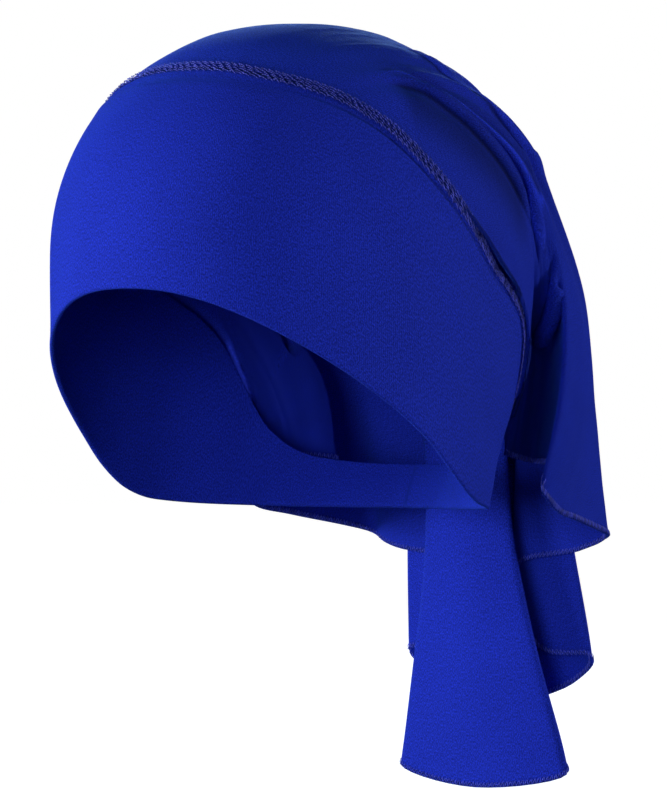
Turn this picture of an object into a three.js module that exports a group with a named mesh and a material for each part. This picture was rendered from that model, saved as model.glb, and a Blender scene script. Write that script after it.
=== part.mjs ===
// Hijab underscarf cap: a wide doubled jersey band round the face and a jersey crown panel
// that is sewn to it along the arched seam and falls free behind the neck in cascading folds.
// Millimetres, +Z up, front of the face -Y, wearer's left +X, z = 0 at the inside top of the crown.
import * as THREE from 'three';

// The head shape the cloth is stretched over.
const HEAD_HALF_BREADTH = 78.0;
const HEAD_HALF_LENGTH = 98.0;
const HEAD_DOME = 83.2;
const DOME_POWER = 2.12;
const DOME_POWER_SWING = 0.06;
const NAPE_DEPTH = 90.0;
const NAPE_TUCK_SHARE = 0.33;
const NAPE_TUCK_POWER = 1.5;
const NAPE_FIRST_TURN = 70;
const NAPE_FULL_TURN = 150;
const TIP_DROP = 0.6;
const NORMAL_STEP = 0.4;
const NORMAL_TURN = 0.5;

// Cloth.
const BAND_WALL = 2.0;
const CROWN_WALL = 1.2;
const CLEARANCE = 0.35;
const FOLD_DEPTH = 7.0;
const TAIL_FALL = 138.0;
const BAND_LAP = 4.0;
const EDGE_LAP = 12.0;
const HEAD_CLEARANCE = 0.1;
const DRAPE_CLEARANCE = 0.5;
const CROWN_LIFT = 0.5 * CROWN_WALL;
const OVER_BAND_LIFT = BAND_WALL + CLEARANCE + 0.5 * CROWN_WALL;
const SEAM_GAP = CROWN_WALL + 0.5 * CLEARANCE;

// Mesh density.
const BAND_COLUMNS = 90;
const BAND_ROWS = 6;
const ROWS_TIED_TO_SEAM = 5;
const CROWN_ROWS = 22;
const STEPS_BETWEEN_FOLDS = 2;
const STEPS_ON_HEAD = 12;
const STEPS_PER_SPAN = 12;

// Drop of the band's two edges below the crown, as shares of the dome's height, at turns
// round the head in degrees from the centre front.
const SEAM_DROPS = [
  { turn: 0, drop: 0.236 },
  { turn: 10, drop: 0.239 },
  { turn: 20, drop: 0.248 },
  { turn: 32, drop: 0.276 },
  { turn: 44, drop: 0.314 },
  { turn: 53, drop: 0.356 },
  { turn: 60, drop: 0.408 },
  { turn: 67, drop: 0.482 },
  { turn: 73, drop: 0.580 },
  { turn: 80, drop: 0.714 },
  { turn: 88, drop: 0.888 },
  { turn: 95, drop: 1.030 },
  { turn: 104, drop: 1.143 },
  { turn: 112, drop: 1.240 },
  { turn: 118, drop: 1.370 },
  { turn: 123, drop: 1.560 },
  { turn: 128, drop: 1.720 },
  { turn: 138, drop: 1.835 },
  { turn: 155, drop: 1.880 },
  { turn: 180, drop: 1.892 },
];
const EDGE_DROPS = [
  { turn: 0, drop: 1.140 },
  { turn: 10, drop: 1.150 },
  { turn: 20, drop: 1.186 },
  { turn: 30, drop: 1.250 },
  { turn: 39, drop: 1.327 },
  { turn: 48, drop: 1.418 },
  { turn: 57, drop: 1.522 },
  { turn: 66, drop: 1.640 },
  { turn: 74, drop: 1.760 },
  { turn: 81, drop: 1.885 },
  { turn: 88, drop: 1.985 },
  { turn: 96, drop: 2.035 },
  { turn: 120, drop: 2.062 },
  { turn: 180, drop: 2.070 },
];

// Places in the two tables below are shares: X of the head's half breadth, Y of its half
// length, drop of the dome's height, lift of the fold depth, fall of the tail's fall. The
// free cloth starts at the first of the two shares of the dome's height; the neck points lie
// at the second.
const FREE_SHARE = 0.745;
const NECK_SHARE = 1.142;

// Short tuck lines beside the lower end of the seam: the turn where each starts on the
// seam, a place half way down, and where it meets the hem.
const TUCKS = [
  { seam: 128, midX: 0.692, midY: 0.546, hemX: 0.709, hemY: 0.524, hemFall: 0.074 },
  { seam: 123, midX: 0.738, midY: 0.556, hemX: 0.692, hemY: 0.564, hemFall: 0.078 },
  { seam: 117, midX: 0.755, midY: 0.576, hemX: 0.675, hemY: 0.605, hemFall: 0.080 },
  { seam: 107, midX: 0.767, midY: 0.595, hemX: 0.651, hemY: 0.654, hemFall: 0.084 },
];

// One row per fold line of the left side, from the face side to the centre back. Each runs
// from the seam over two places held near the head, then hangs past the neck level and a
// place half way down to the hem. Behind the band the cloth drops back into a deep valley
// before it comes forward again as the first ridge.
const FOLDS = [
  { name: 'tight side', seam: 93, aTurn: 108, aDrop: 1.058, aLift: 0.10, bTurn: 121, bDrop: 1.214, bLift: 0.23,
    neckX: null, neckY: null, midX: 0.710, midY: 0.663, hemX: 0.610, hemY: 0.732, hemFall: 0.088 },
  { name: 'valley bottom', seam: 80, aTurn: 102, aDrop: 0.745, aLift: 0.10, bTurn: 121, bDrop: 1.010, bLift: 0.17,
    neckX: null, neckY: null, midX: 0.642, midY: 0.800, hemX: 0.555, hemY: 0.851, hemFall: 0.096 },
  { name: 'valley back', seam: 72, aTurn: 100, aDrop: 0.480, aLift: 0.11, bTurn: 121, bDrop: 0.780, bLift: 0.23,
    neckX: 0.836, neckY: 0.660, midX: 0.682, midY: 0.848, hemX: 0.629, hemY: 0.843, hemFall: 0.101 },
  { name: 'under first ridge', seam: 67, aTurn: 99, aDrop: 0.420, aLift: 0.23, bTurn: 119, bDrop: 0.710, bLift: 0.60,
    neckX: 0.845, neckY: 0.716, midX: 0.849, midY: 0.718, hemX: 0.851, hemY: 0.668, hemFall: 0.106 },
  { name: 'first ridge', seam: 63, aTurn: 98, aDrop: 0.372, aLift: 0.40, bTurn: 119, bDrop: 0.655, bLift: 0.90,
    neckX: 0.933, neckY: 0.641, midX: 0.944, midY: 0.622, hemX: 0.865, hemY: 0.576, hemFall: 0.163 },
  { name: 'first ridge back', seam: 59, aTurn: 98, aDrop: 0.336, aLift: 0.34, bTurn: 120, bDrop: 0.615, bLift: 0.82,
    neckX: 0.917, neckY: 0.745, midX: 0.921, midY: 0.759, hemX: 0.873, hemY: 0.682, hemFall: 0.224 },
  { name: 'broad face', seam: 55, aTurn: 99, aDrop: 0.306, aLift: 0.14, bTurn: 124, bDrop: 0.590, bLift: 0.68,
    neckX: 0.845, neckY: 0.857, midX: 0.837, midY: 0.939, hemX: 0.820, hemY: 0.878, hemFall: 0.252 },
  { name: 'tip of first flute', seam: 51, aTurn: 101, aDrop: 0.276, aLift: 0.40, bTurn: 129, bDrop: 0.640, bLift: 1.20,
    neckX: 0.769, neckY: 0.974, midX: 0.722, midY: 1.117, hemX: 0.705, hemY: 1.230, hemFall: 0.300 },
  { name: 'first flute back', seam: 47, aTurn: 104, aDrop: 0.252, aLift: 0.26, bTurn: 134, bDrop: 0.520, bLift: 0.72,
    neckX: 0.590, neckY: 1.020, midX: 0.564, midY: 1.143, hemX: 0.538, hemY: 1.240, hemFall: 0.343 },
  { name: 'first inner fold', seam: 43, aTurn: 108, aDrop: 0.228, aLift: 0.13, bTurn: 139, bDrop: 0.470, bLift: 0.34,
    neckX: 0.346, neckY: 1.056, midX: 0.244, midY: 1.163, hemX: 0.167, hemY: 1.235, hemFall: 0.400 },
  { name: 'second flute front', seam: 39, aTurn: 113, aDrop: 0.210, aLift: 0.24, bTurn: 144, bDrop: 0.440, bLift: 0.52,
    neckX: 0.410, neckY: 1.097, midX: 0.346, midY: 1.199, hemX: 0.256, hemY: 1.301, hemFall: 0.612 },
  { name: 'tip of second flute', seam: 35, aTurn: 119, aDrop: 0.192, aLift: 0.34, bTurn: 149, bDrop: 0.420, bLift: 0.72,
    neckX: 0.513, neckY: 1.128, midX: 0.462, midY: 1.224, hemX: 0.538, hemY: 1.327, hemFall: 0.634 },
  { name: 'second flute back', seam: 31, aTurn: 126, aDrop: 0.180, aLift: 0.23, bTurn: 154, bDrop: 0.420, bLift: 0.54,
    neckX: 0.372, neckY: 1.153, midX: 0.372, midY: 1.256, hemX: 0.397, hemY: 1.367, hemFall: 0.714 },
  { name: 'second inner fold', seam: 26, aTurn: 134, aDrop: 0.168, aLift: 0.13, bTurn: 159, bDrop: 0.420, bLift: 0.30,
    neckX: 0.179, neckY: 1.133, midX: 0.103, midY: 1.235, hemX: 0.064, hemY: 1.337, hemFall: 0.795 },
  { name: 'tail return', seam: 20, aTurn: 144, aDrop: 0.156, aLift: 0.18, bTurn: 164, bDrop: 0.420, bLift: 0.36,
    neckX: 0.154, neckY: 1.082, midX: 0.128, midY: 1.158, hemX: 0.179, hemY: 1.265, hemFall: 0.855 },
  { name: 'tail edge', seam: 12, aTurn: 156, aDrop: 0.144, aLift: 0.25, bTurn: 170, bDrop: 0.420, bLift: 0.42,
    neckX: 0.250, neckY: 1.041, midX: 0.250, midY: 1.117, hemX: 0.487, hemY: 1.219, hemFall: 0.953 },
];
const CENTRE = {
  name: 'tail centre', seam: 0, aTurn: 180, aDrop: 0.132, aLift: 0.13, bTurn: 180, bDrop: 0.420, bLift: 0.17,
  neckX: 0.000, neckY: 1.044, midX: 0.000, midY: 1.092, hemX: 0.000, hemY: 1.168, hemFall: 1.000,
};

const RADIANS = Math.PI / 180;

function clamp01(value) {
  return Math.min(1, Math.max(0, value));
}

function ease(value) {
  const s = clamp01(value);
  return s * s * (3 - 2 * s);
}

// Smooth curve through a table of drops, read at a turn of either sign, as a height.
function heightAt(table, turn) {
  const t = Math.abs(turn);
  let i = 0;
  while (i < table.length - 2 && table[i + 1].turn < t) i += 1;
  const before = table[Math.max(0, i - 1)];
  const a = table[i];
  const b = table[i + 1];
  const after = table[Math.min(table.length - 1, i + 2)];
  const span = b.turn - a.turn;
  const slopeA = i === 0 ? 0 : (b.drop - before.drop) / (b.turn - before.turn);
  const slopeB = i + 2 >= table.length ? 0 : (after.drop - a.drop) / (after.turn - a.turn);
  const s = clamp01((t - a.turn) / span);
  const s2 = s * s;
  const s3 = s2 * s;
  const drop = (2 * s3 - 3 * s2 + 1) * a.drop + (s3 - 2 * s2 + s) * span * slopeA
    + (3 * s2 - 2 * s3) * b.drop + (s3 - s2) * span * slopeB;
  return -drop * HEAD_DOME;
}

// Share of the widest section that the head has at a height; the back of the dome is
// fuller than the front, and the nape draws in below.
function headShare(turn, z) {
  if (z >= 0) return 0;
  if (z > -HEAD_DOME) {
    const rise = 1 + z / HEAD_DOME;
    const power = DOME_POWER - DOME_POWER_SWING * Math.cos(turn * RADIANS);
    return (1 - rise ** power) ** (1 / power);
  }
  const depth = (-HEAD_DOME - z) / NAPE_DEPTH;
  const backward = ease((Math.abs(turn) - NAPE_FIRST_TURN) / (NAPE_FULL_TURN - NAPE_FIRST_TURN));
  return 1 - NAPE_TUCK_SHARE * backward * depth ** NAPE_TUCK_POWER;
}

function headPoint(turn, z) {
  const share = headShare(turn, z);
  const a = turn * RADIANS;
  return new THREE.Vector3(
    HEAD_HALF_BREADTH * share * Math.sin(a),
    -HEAD_HALF_LENGTH * share * Math.cos(a),
    z,
  );
}

function headNormal(turn, z) {
  const zSafe = Math.min(z, -TIP_DROP);
  const du = headPoint(turn + NORMAL_TURN, zSafe).sub(headPoint(turn - NORMAL_TURN, zSafe));
  const dv = headPoint(turn, zSafe + NORMAL_STEP).sub(headPoint(turn, zSafe - NORMAL_STEP));
  return du.cross(dv).normalize();
}

function liftedPoint(turn, z, lift) {
  if (z > -TIP_DROP) return new THREE.Vector3(0, 0, z + lift).add(headPoint(turn, z));
  return headPoint(turn, z).addScaledVector(headNormal(turn, z), lift);
}

// The head laid out flat like a map seen from above, so that lines cross the top evenly.
const MERIDIAN_QUARTER = 0.25 * Math.PI * (HEAD_DOME + 0.5 * (HEAD_HALF_BREADTH + HEAD_HALF_LENGTH));

function toMap(turn, z) {
  const radius = z > -HEAD_DOME
    ? MERIDIAN_QUARTER * Math.acos(1 + z / HEAD_DOME) / (Math.PI / 2)
    : MERIDIAN_QUARTER - HEAD_DOME - z;
  return [radius * Math.sin(turn * RADIANS), -radius * Math.cos(turn * RADIANS)];
}

function fromMap(x, y) {
  const radius = Math.hypot(x, y);
  const z = radius < MERIDIAN_QUARTER
    ? -HEAD_DOME * (1 - Math.cos(radius / MERIDIAN_QUARTER * Math.PI / 2))
    : MERIDIAN_QUARTER - HEAD_DOME - radius;
  return [Math.atan2(x, -y) / RADIANS, z];
}

// How far a place on the head lies behind the seam, square to it.
function aboveSeam(turn, z) {
  const degree = Math.sqrt(HEAD_HALF_BREADTH * HEAD_HALF_LENGTH) * RADIANS;
  const slope = (heightAt(SEAM_DROPS, turn + 1) - heightAt(SEAM_DROPS, turn - 1)) / (2 * degree);
  return (z - heightAt(SEAM_DROPS, turn)) / Math.hypot(1, slope);
}

// Keeps the free cloth clear of the head above the seam and of the band below it.
function keepClear(p) {
  if (p.z > -FREE_SHARE * HEAD_DOME) return p;
  const turn = Math.atan2(p.x / HEAD_HALF_BREADTH, -p.y / HEAD_HALF_LENGTH) / RADIANS;
  const share = headShare(turn, p.z);
  const reach = Math.hypot(p.x / HEAD_HALF_BREADTH, p.y / HEAD_HALF_LENGTH);
  const radius = Math.hypot(p.x, p.y) / reach * share;
  const overBand = ease((BAND_LAP + CLEARANCE - aboveSeam(turn, p.z)) / BAND_LAP);
  const lift = CROWN_LIFT + HEAD_CLEARANCE + (OVER_BAND_LIFT + DRAPE_CLEARANCE - CROWN_LIFT) * overBand;
  const onBody = p.z > heightAt(EDGE_DROPS, turn) - EDGE_LAP;
  const shortBy = share + lift / radius * share - reach;
  if (!onBody || shortBy <= 0) return p;
  const grow = (reach + shortBy) / reach;
  return new THREE.Vector3(p.x * grow, p.y * grow, p.z);
}

// A place on the crown's front edge, one seam gap inward of the band's upper edge.
function seamStart(turn) {
  const at = (t) => new THREE.Vector2(...toMap(t, heightAt(SEAM_DROPS, t)));
  const along = at(turn + 1).sub(at(turn - 1)).normalize();
  const p = at(turn);
  return [p.x - along.y * SEAM_GAP, p.y + along.x * SEAM_GAP];
}

function seamPoint(turn) {
  const [flatTurn, z] = fromMap(...seamStart(turn));
  return liftedPoint(flatTurn, z, CROWN_LIFT);
}

function catmull(a, b, c, d, s) {
  const s2 = s * s;
  const s3 = s2 * s;
  return 0.5 * (2 * b + (c - a) * s + (2 * a - 5 * b + 4 * c - d) * s2 + (3 * b - a - 3 * c + d) * s3);
}

function pointBetween(points, at) {
  const last = points.length - 1;
  const i = Math.min(last - 1, Math.max(0, Math.floor(at)));
  const s = at - i;
  const b = points[i];
  const c = points[i + 1];
  const a = i > 0 ? points[i - 1] : b.clone().multiplyScalar(2).sub(c);
  const d = i + 2 <= last ? points[i + 2] : c.clone().multiplyScalar(2).sub(b);
  return new THREE.Vector3(
    catmull(a.x, b.x, c.x, d.x, s),
    catmull(a.y, b.y, c.y, d.y, s),
    catmull(a.z, b.z, c.z, d.z, s),
  );
}

// Even steps along a curve through the given points.
function evenSteps(points, count) {
  const fine = [];
  const fineSteps = (points.length - 1) * STEPS_PER_SPAN;
  for (let i = 0; i <= fineSteps; i += 1) fine.push(pointBetween(points, i / STEPS_PER_SPAN));
  const run = [0];
  for (let i = 1; i < fine.length; i += 1) run.push(run[i - 1] + fine[i].distanceTo(fine[i - 1]));
  const out = [];
  let j = 0;
  for (let i = 0; i < count; i += 1) {
    const want = run[run.length - 1] * i / (count - 1);
    while (j < run.length - 2 && run[j + 1] < want) j += 1;
    const s = clamp01((want - run[j]) / Math.max(1e-9, run[j + 1] - run[j]));
    out.push(fine[j].clone().lerp(fine[j + 1], s));
  }
  return out;
}

function place(shareX, shareY, z) {
  return new THREE.Vector3(shareX * HEAD_HALF_BREADTH, shareY * HEAD_HALF_LENGTH, z);
}

function hemPlace(row) {
  const seamEnd = heightAt(SEAM_DROPS, TUCKS[0].seam);
  return place(row.hemX, row.hemY, seamEnd - row.hemFall * TAIL_FALL);
}

function foldLine(row) {
  const [sx, sy] = seamStart(row.seam);
  const [ax, ay] = toMap(row.aTurn, -row.aDrop * HEAD_DOME);
  const [bx, by] = toMap(row.bTurn, -row.bDrop * HEAD_DOME);
  const flat = [new THREE.Vector3(sx, sy, CROWN_LIFT), new THREE.Vector3(ax, ay, row.aLift * FOLD_DEPTH),
    new THREE.Vector3(bx, by, row.bLift * FOLD_DEPTH)];
  const points = [];
  for (let i = 0; i <= STEPS_ON_HEAD; i += 1) {
    const p = pointBetween(flat, (flat.length - 1) * i / STEPS_ON_HEAD);
    const [turn, z] = fromMap(p.x, p.y);
    points.push(liftedPoint(turn, z, Math.max(CROWN_LIFT, p.z)));
  }
  const neckZ = -NECK_SHARE * HEAD_DOME;
  if (row.neckX !== null) points.push(place(row.neckX, row.neckY, neckZ));
  const hem = hemPlace(row);
  const from = row.neckX === null ? points[STEPS_ON_HEAD].z : neckZ;
  points.push(place(row.midX, row.midY, 0.5 * (from + hem.z)), hem);
  return evenSteps(points, CROWN_ROWS);
}

function tuckLine(row) {
  const start = seamPoint(row.seam);
  const hem = hemPlace(row);
  const points = [start, place(row.midX, row.midY, 0.5 * (start.z + hem.z)), hem];
  return evenSteps(points, CROWN_ROWS);
}

function mirrored(line) {
  return line.map((p) => new THREE.Vector3(-p.x, p.y, p.z));
}

// Closes a grid of middle points into a wall of even thickness.
function wallFromGrid(grid, wall) {
  const columns = grid.length;
  const rows = grid[0].length;
  const normals = grid.map((line, i) => line.map((p, j) => {
    const du = grid[Math.min(columns - 1, i + 1)][j].clone().sub(grid[Math.max(0, i - 1)][j]);
    const dv = line[Math.min(rows - 1, j + 1)].clone().sub(line[Math.max(0, j - 1)]);
    return du.cross(dv).normalize();
  }));
  const positions = [];
  const index = (side, i, j) => (side * columns + i) * rows + j;
  for (const side of [-0.5, 0.5]) {
    for (let i = 0; i < columns; i += 1) {
      for (let j = 0; j < rows; j += 1) {
        const p = grid[i][j].clone().addScaledVector(normals[i][j], side * wall);
        positions.push(p.x, p.y, p.z);
      }
    }
  }
  const faces = [];
  const quad = (a, b, c, d) => faces.push(a, b, c, a, c, d);
  for (let i = 0; i < columns - 1; i += 1) {
    for (let j = 0; j < rows - 1; j += 1) {
      quad(index(1, i, j), index(1, i + 1, j), index(1, i + 1, j + 1), index(1, i, j + 1));
      quad(index(0, i, j), index(0, i, j + 1), index(0, i + 1, j + 1), index(0, i + 1, j));
    }
  }
  for (let i = 0; i < columns - 1; i += 1) {
    quad(index(0, i, 0), index(0, i + 1, 0), index(1, i + 1, 0), index(1, i, 0));
    quad(index(1, i, rows - 1), index(1, i + 1, rows - 1), index(0, i + 1, rows - 1), index(0, i, rows - 1));
  }
  for (let j = 0; j < rows - 1; j += 1) {
    quad(index(1, 0, j), index(1, 0, j + 1), index(0, 0, j + 1), index(0, 0, j));
    quad(index(0, columns - 1, j), index(0, columns - 1, j + 1), index(1, columns - 1, j + 1), index(1, columns - 1, j));
  }
  return { positions, faces };
}

function toGeometry({ positions, faces }) {
  const geometry = new THREE.BufferGeometry();
  geometry.setAttribute('position', new THREE.Float32BufferAttribute(positions, 3));
  geometry.setIndex(faces);
  geometry.computeVertexNormals();
  return geometry;
}

// The crown panel: from the seam over the dome to the hem. The first rows follow the seam
// exactly, also between two fold lines.
function crownPanel() {
  const rows = [...TUCKS, ...FOLDS];
  const left = [...TUCKS.map(tuckLine), ...FOLDS.map(foldLine)];
  const lines = [...left, foldLine(CENTRE), ...left.map(mirrored).reverse()];
  const turns = [...rows.map((row) => row.seam), 0, ...rows.map((row) => -row.seam).reverse()];
  const seams = turns.map((turn) => new THREE.Vector3(turn, 0, 0));
  const grid = [];
  const count = (lines.length - 1) * STEPS_BETWEEN_FOLDS;
  for (let i = 0; i <= count; i += 1) {
    const at = i / STEPS_BETWEEN_FOLDS;
    const start = seamPoint(pointBetween(seams, at).x);
    const miss = start.clone().sub(pointBetween(lines.map((line) => line[0]), at));
    const column = [start];
    for (let j = 1; j < CROWN_ROWS; j += 1) {
      const p = pointBetween(lines.map((line) => line[j]), at);
      p.addScaledVector(miss, 1 - ease(j / ROWS_TIED_TO_SEAM));
      column.push(keepClear(p));
    }
    grid.push(column);
  }
  return toGeometry(wallFromGrid(grid, CROWN_WALL));
}

// The band: doubled cloth, folded at the lower edge, closed round the nape.
function frontBand() {
  const positions = [];
  const faces = [];
  const ring = 2 * BAND_ROWS + 1;
  for (let i = 0; i < BAND_COLUMNS; i += 1) {
    const turn = 360 * i / BAND_COLUMNS - 180;
    const top = heightAt(SEAM_DROPS, turn);
    const low = heightAt(EDGE_DROPS, turn);
    const section = [];
    for (let j = 0; j < BAND_ROWS; j += 1) {
      const z = low + (top - low) * j / (BAND_ROWS - 1);
      section.push(headPoint(turn, z));
    }
    for (let j = BAND_ROWS - 1; j >= 0; j -= 1) {
      const z = low + (top - low) * j / (BAND_ROWS - 1);
      section.push(liftedPoint(turn, z, BAND_WALL));
    }
    section.push(liftedPoint(turn, low, 0.5 * BAND_WALL).add(new THREE.Vector3(0, 0, -0.5 * BAND_WALL)));
    for (const p of section) positions.push(p.x, p.y, p.z);
  }
  for (let i = 0; i < BAND_COLUMNS; i += 1) {
    const next = (i + 1) % BAND_COLUMNS;
    for (let k = 0; k < ring; k += 1) {
      const k2 = (k + 1) % ring;
      const a = i * ring + k;
      const b = next * ring + k;
      const c = next * ring + k2;
      const d = i * ring + k2;
      faces.push(a, d, c, a, c, b);
    }
  }
  return toGeometry({ positions, faces });
}

function piece(name, geometry, colour) {
  const material = new THREE.MeshStandardMaterial({ color: colour, roughness: 0.9, metalness: 0 });
  material.name = 'jersey';
  const mesh = new THREE.Mesh(geometry, material);
  mesh.name = name;
  return mesh;
}

const cap = new THREE.Group();
cap.name = 'underscarf_cap';
cap.add(piece('front_band', frontBand(), 0x1a2fb0));
cap.add(piece('crown_panel', crownPanel(), 0x1a2fb0));

export default cap;
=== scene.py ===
# Hijab underscarf cap in royal blue jersey: the visible cloth and its threads.
# Lengths are in millimetres and turns in degrees. The mesh makers turn millimetres into metres.
# The head shape and the seam, edge and fold tables are those of the solids that the cloth covers.
import math

import bpy
import numpy as np
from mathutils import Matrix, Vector


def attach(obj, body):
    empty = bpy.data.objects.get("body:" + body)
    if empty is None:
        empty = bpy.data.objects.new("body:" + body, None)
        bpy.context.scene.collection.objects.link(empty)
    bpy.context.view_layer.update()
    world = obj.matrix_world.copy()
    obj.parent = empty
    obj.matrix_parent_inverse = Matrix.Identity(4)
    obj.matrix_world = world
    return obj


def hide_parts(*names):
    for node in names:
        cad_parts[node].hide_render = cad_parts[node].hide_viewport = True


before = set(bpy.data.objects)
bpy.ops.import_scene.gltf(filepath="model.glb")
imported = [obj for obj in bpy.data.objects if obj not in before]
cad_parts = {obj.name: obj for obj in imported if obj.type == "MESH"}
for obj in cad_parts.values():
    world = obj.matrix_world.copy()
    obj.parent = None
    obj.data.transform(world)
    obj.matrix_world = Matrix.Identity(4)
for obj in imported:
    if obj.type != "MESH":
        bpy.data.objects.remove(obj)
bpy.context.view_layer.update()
MM = 0.001

# The head shape the cloth is stretched over.
HEAD_HALF_BREADTH = 78.0
HEAD_HALF_LENGTH = 98.0
HEAD_DOME = 83.2
DOME_POWER = 2.12
DOME_POWER_SWING = 0.06
MERIDIAN_QUARTER = 0.25 * math.pi * (HEAD_DOME + 0.5 * (HEAD_HALF_BREADTH + HEAD_HALF_LENGTH))
# Below the dome the nape tucks in, more and more over a span of turns.
NAPE_DEPTH = 90.0
NAPE_TUCK_SHARE = 0.33
NAPE_TUCK_POWER = 1.5
NAPE_FIRST_TURN = 70.0
NAPE_TURN_SPAN = 80.0
# Above this height the head counts as flat. Its slope is measured over the two steps.
FLAT_TOP = -0.6
HEIGHT_STEP = 0.4
TURN_STEP = 0.5

# Cloth, and how far the middle of each layer lies off the head.
BAND_WALL = 2.0
JERSEY_WALL = 0.9
SEAM_LIFT = BAND_WALL - 0.5 * JERSEY_WALL
CROWN_LIFT = 0.6
CLEARANCE = 0.35
OVER_BAND_LIFT = BAND_WALL + CLEARANCE + CROWN_LIFT
BAND_LAP = 4.0
SEAM_GAP = 0.25
SEAM_HALF_WIDTH = 2.1
FOLD_DEPTH = 7.0
TAIL_FALL = 138.0
NECK_DROP = 1.142
# The free cloth keeps these gaps off the head and off the band, down to a lap below the band's
# edge. This starts at a height on the side of the head and comes in fully over a further fall.
HEAD_GAP = 0.1
BAND_GAP = 0.5
EDGE_LAP = 12.0
FREE_HEIGHT = -62.0
FREE_BLEND = 22.0
# Share of a column's rows over which it is drawn to its place on the seam.
SEAM_TIE_SHARE = 0.2

# (turn round the head in degrees, drop as a share of the dome's height)
SEAM_DROPS = [
    (0, 0.236), (10, 0.239), (20, 0.248), (32, 0.276), (44, 0.314), (53, 0.356), (60, 0.408),
    (67, 0.482), (73, 0.580), (80, 0.714), (88, 0.888), (95, 1.030), (104, 1.143), (112, 1.240),
    (118, 1.370), (123, 1.560), (128, 1.720), (138, 1.835), (155, 1.880), (180, 1.892),
]
EDGE_DROPS = [
    (0, 1.140), (10, 1.150), (20, 1.186), (30, 1.250), (39, 1.327), (48, 1.418), (57, 1.522),
    (66, 1.640), (74, 1.760), (81, 1.885), (88, 1.985), (96, 2.035), (120, 2.062), (180, 2.070),
]

# Tuck lines beside the lower end of the seam: (seam turn, mid x, mid y, hem x, hem y, hem fall)
TUCKS = [
    (128, 0.692, 0.546, 0.709, 0.524, 0.074),
    (123, 0.738, 0.556, 0.692, 0.564, 0.078),
    (117, 0.755, 0.576, 0.675, 0.605, 0.080),
    (107, 0.767, 0.595, 0.651, 0.654, 0.084),
]

# Fold lines of the left side: seam turn; turn, drop and lift at two places near the head;
# x and y at the neck, half way down and at the hem; the hem's share of the tail's fall.
FOLDS = [
    (93, 108, 1.058, 0.10, 121, 1.214, 0.23, None, None, 0.710, 0.663, 0.610, 0.732, 0.088),
    (80, 102, 0.745, 0.10, 121, 1.010, 0.17, None, None, 0.642, 0.800, 0.555, 0.851, 0.096),
    (72, 100, 0.480, 0.11, 121, 0.780, 0.23, 0.836, 0.660, 0.682, 0.848, 0.629, 0.843, 0.101),
    (67, 99, 0.420, 0.23, 119, 0.710, 0.60, 0.845, 0.716, 0.849, 0.718, 0.851, 0.668, 0.106),
    (63, 98, 0.372, 0.40, 119, 0.655, 0.90, 0.933, 0.641, 0.944, 0.622, 0.865, 0.576, 0.163),
    (59, 98, 0.336, 0.34, 120, 0.615, 0.82, 0.917, 0.745, 0.921, 0.759, 0.873, 0.682, 0.224),
    (55, 99, 0.306, 0.14, 124, 0.590, 0.68, 0.845, 0.857, 0.837, 0.939, 0.820, 0.878, 0.252),
    (51, 101, 0.276, 0.40, 129, 0.640, 1.20, 0.769, 0.974, 0.722, 1.117, 0.705, 1.230, 0.300),
    (47, 104, 0.252, 0.26, 134, 0.520, 0.72, 0.590, 1.020, 0.564, 1.143, 0.538, 1.240, 0.343),
    (43, 108, 0.228, 0.13, 139, 0.470, 0.34, 0.346, 1.056, 0.244, 1.163, 0.167, 1.235, 0.400),
    (39, 113, 0.210, 0.24, 144, 0.440, 0.52, 0.410, 1.097, 0.346, 1.199, 0.256, 1.301, 0.612),
    (35, 119, 0.192, 0.34, 149, 0.420, 0.72, 0.513, 1.128, 0.462, 1.224, 0.538, 1.327, 0.634),
    (31, 126, 0.180, 0.23, 154, 0.420, 0.54, 0.372, 1.153, 0.372, 1.256, 0.397, 1.367, 0.714),
    (26, 134, 0.168, 0.13, 159, 0.420, 0.30, 0.179, 1.133, 0.103, 1.235, 0.064, 1.337, 0.795),
    (20, 144, 0.156, 0.18, 164, 0.420, 0.36, 0.154, 1.082, 0.128, 1.158, 0.179, 1.265, 0.855),
    (12, 156, 0.144, 0.25, 170, 0.420, 0.42, 0.250, 1.041, 0.250, 1.117, 0.487, 1.219, 0.953),
]
CENTRE = (0, 180, 0.132, 0.13, 180, 0.420, 0.17, 0, 1.044, 0, 1.092, 0, 1.168, 1.0)

# Fine folds drawn over the crown: (turn in degrees, drop as a share of the dome's height)
FOLD_EDGE = [
    (71, 0.283), (78, 0.284), (84, 0.303), (89, 0.352), (95, 0.413), (101, 0.488), (107, 0.585),
    (112, 0.680), (116, 0.775), (121, 0.893),
]
FOLD_CREST = [
    (69, 0.243), (80, 0.232), (89, 0.288), (97, 0.358), (105, 0.440), (112, 0.535), (117, 0.650),
    (121, 0.765), (123, 0.870),
]
REAR_CREST = [
    (101, 0.060), (105, 0.125), (108, 0.200), (111, 0.255), (113, 0.310), (116, 0.390),
    (119, 0.457), (123, 0.560), (127, 0.680),
]
# For each drawn line: the shares of its length where it fades in and out, and its ridges and
# grooves as (height, distance behind the line, width).
FINE_FOLDS = {
    "fold_edge": (FOLD_EDGE, 0.15, 0.2, [(1.9, 2.4, 1.9), (-1.7, -2.2, 3.0)]),
    "fold_crest": (FOLD_CREST, 0.18, 0.15, [(0.6, 0.0, 1.2), (-1.3, 2.9, 2.0)]),
    "rear_crest": (REAR_CREST, 0.2, 0.1, [(0.7, 3.6, 3.4), (-0.6, -1.8, 2.6)]),
}

# The valley behind the band is bridged at its top, down to a slanting roll of cloth.
# The bridge spans these drawn lines and these rows, and blends in and out over a few rows.
BRIDGE_LINES = (4.6, 8.0)
BRIDGE_FIRST_ROW = 58
BRIDGE_LAST_ROWS = (97, 86)
BRIDGE_BLEND_IN = 12
BRIDGE_BLEND_OUT = 5
BRIDGE_SHARE = 0.92
BRIDGE_BULGE = 2.2
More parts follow.
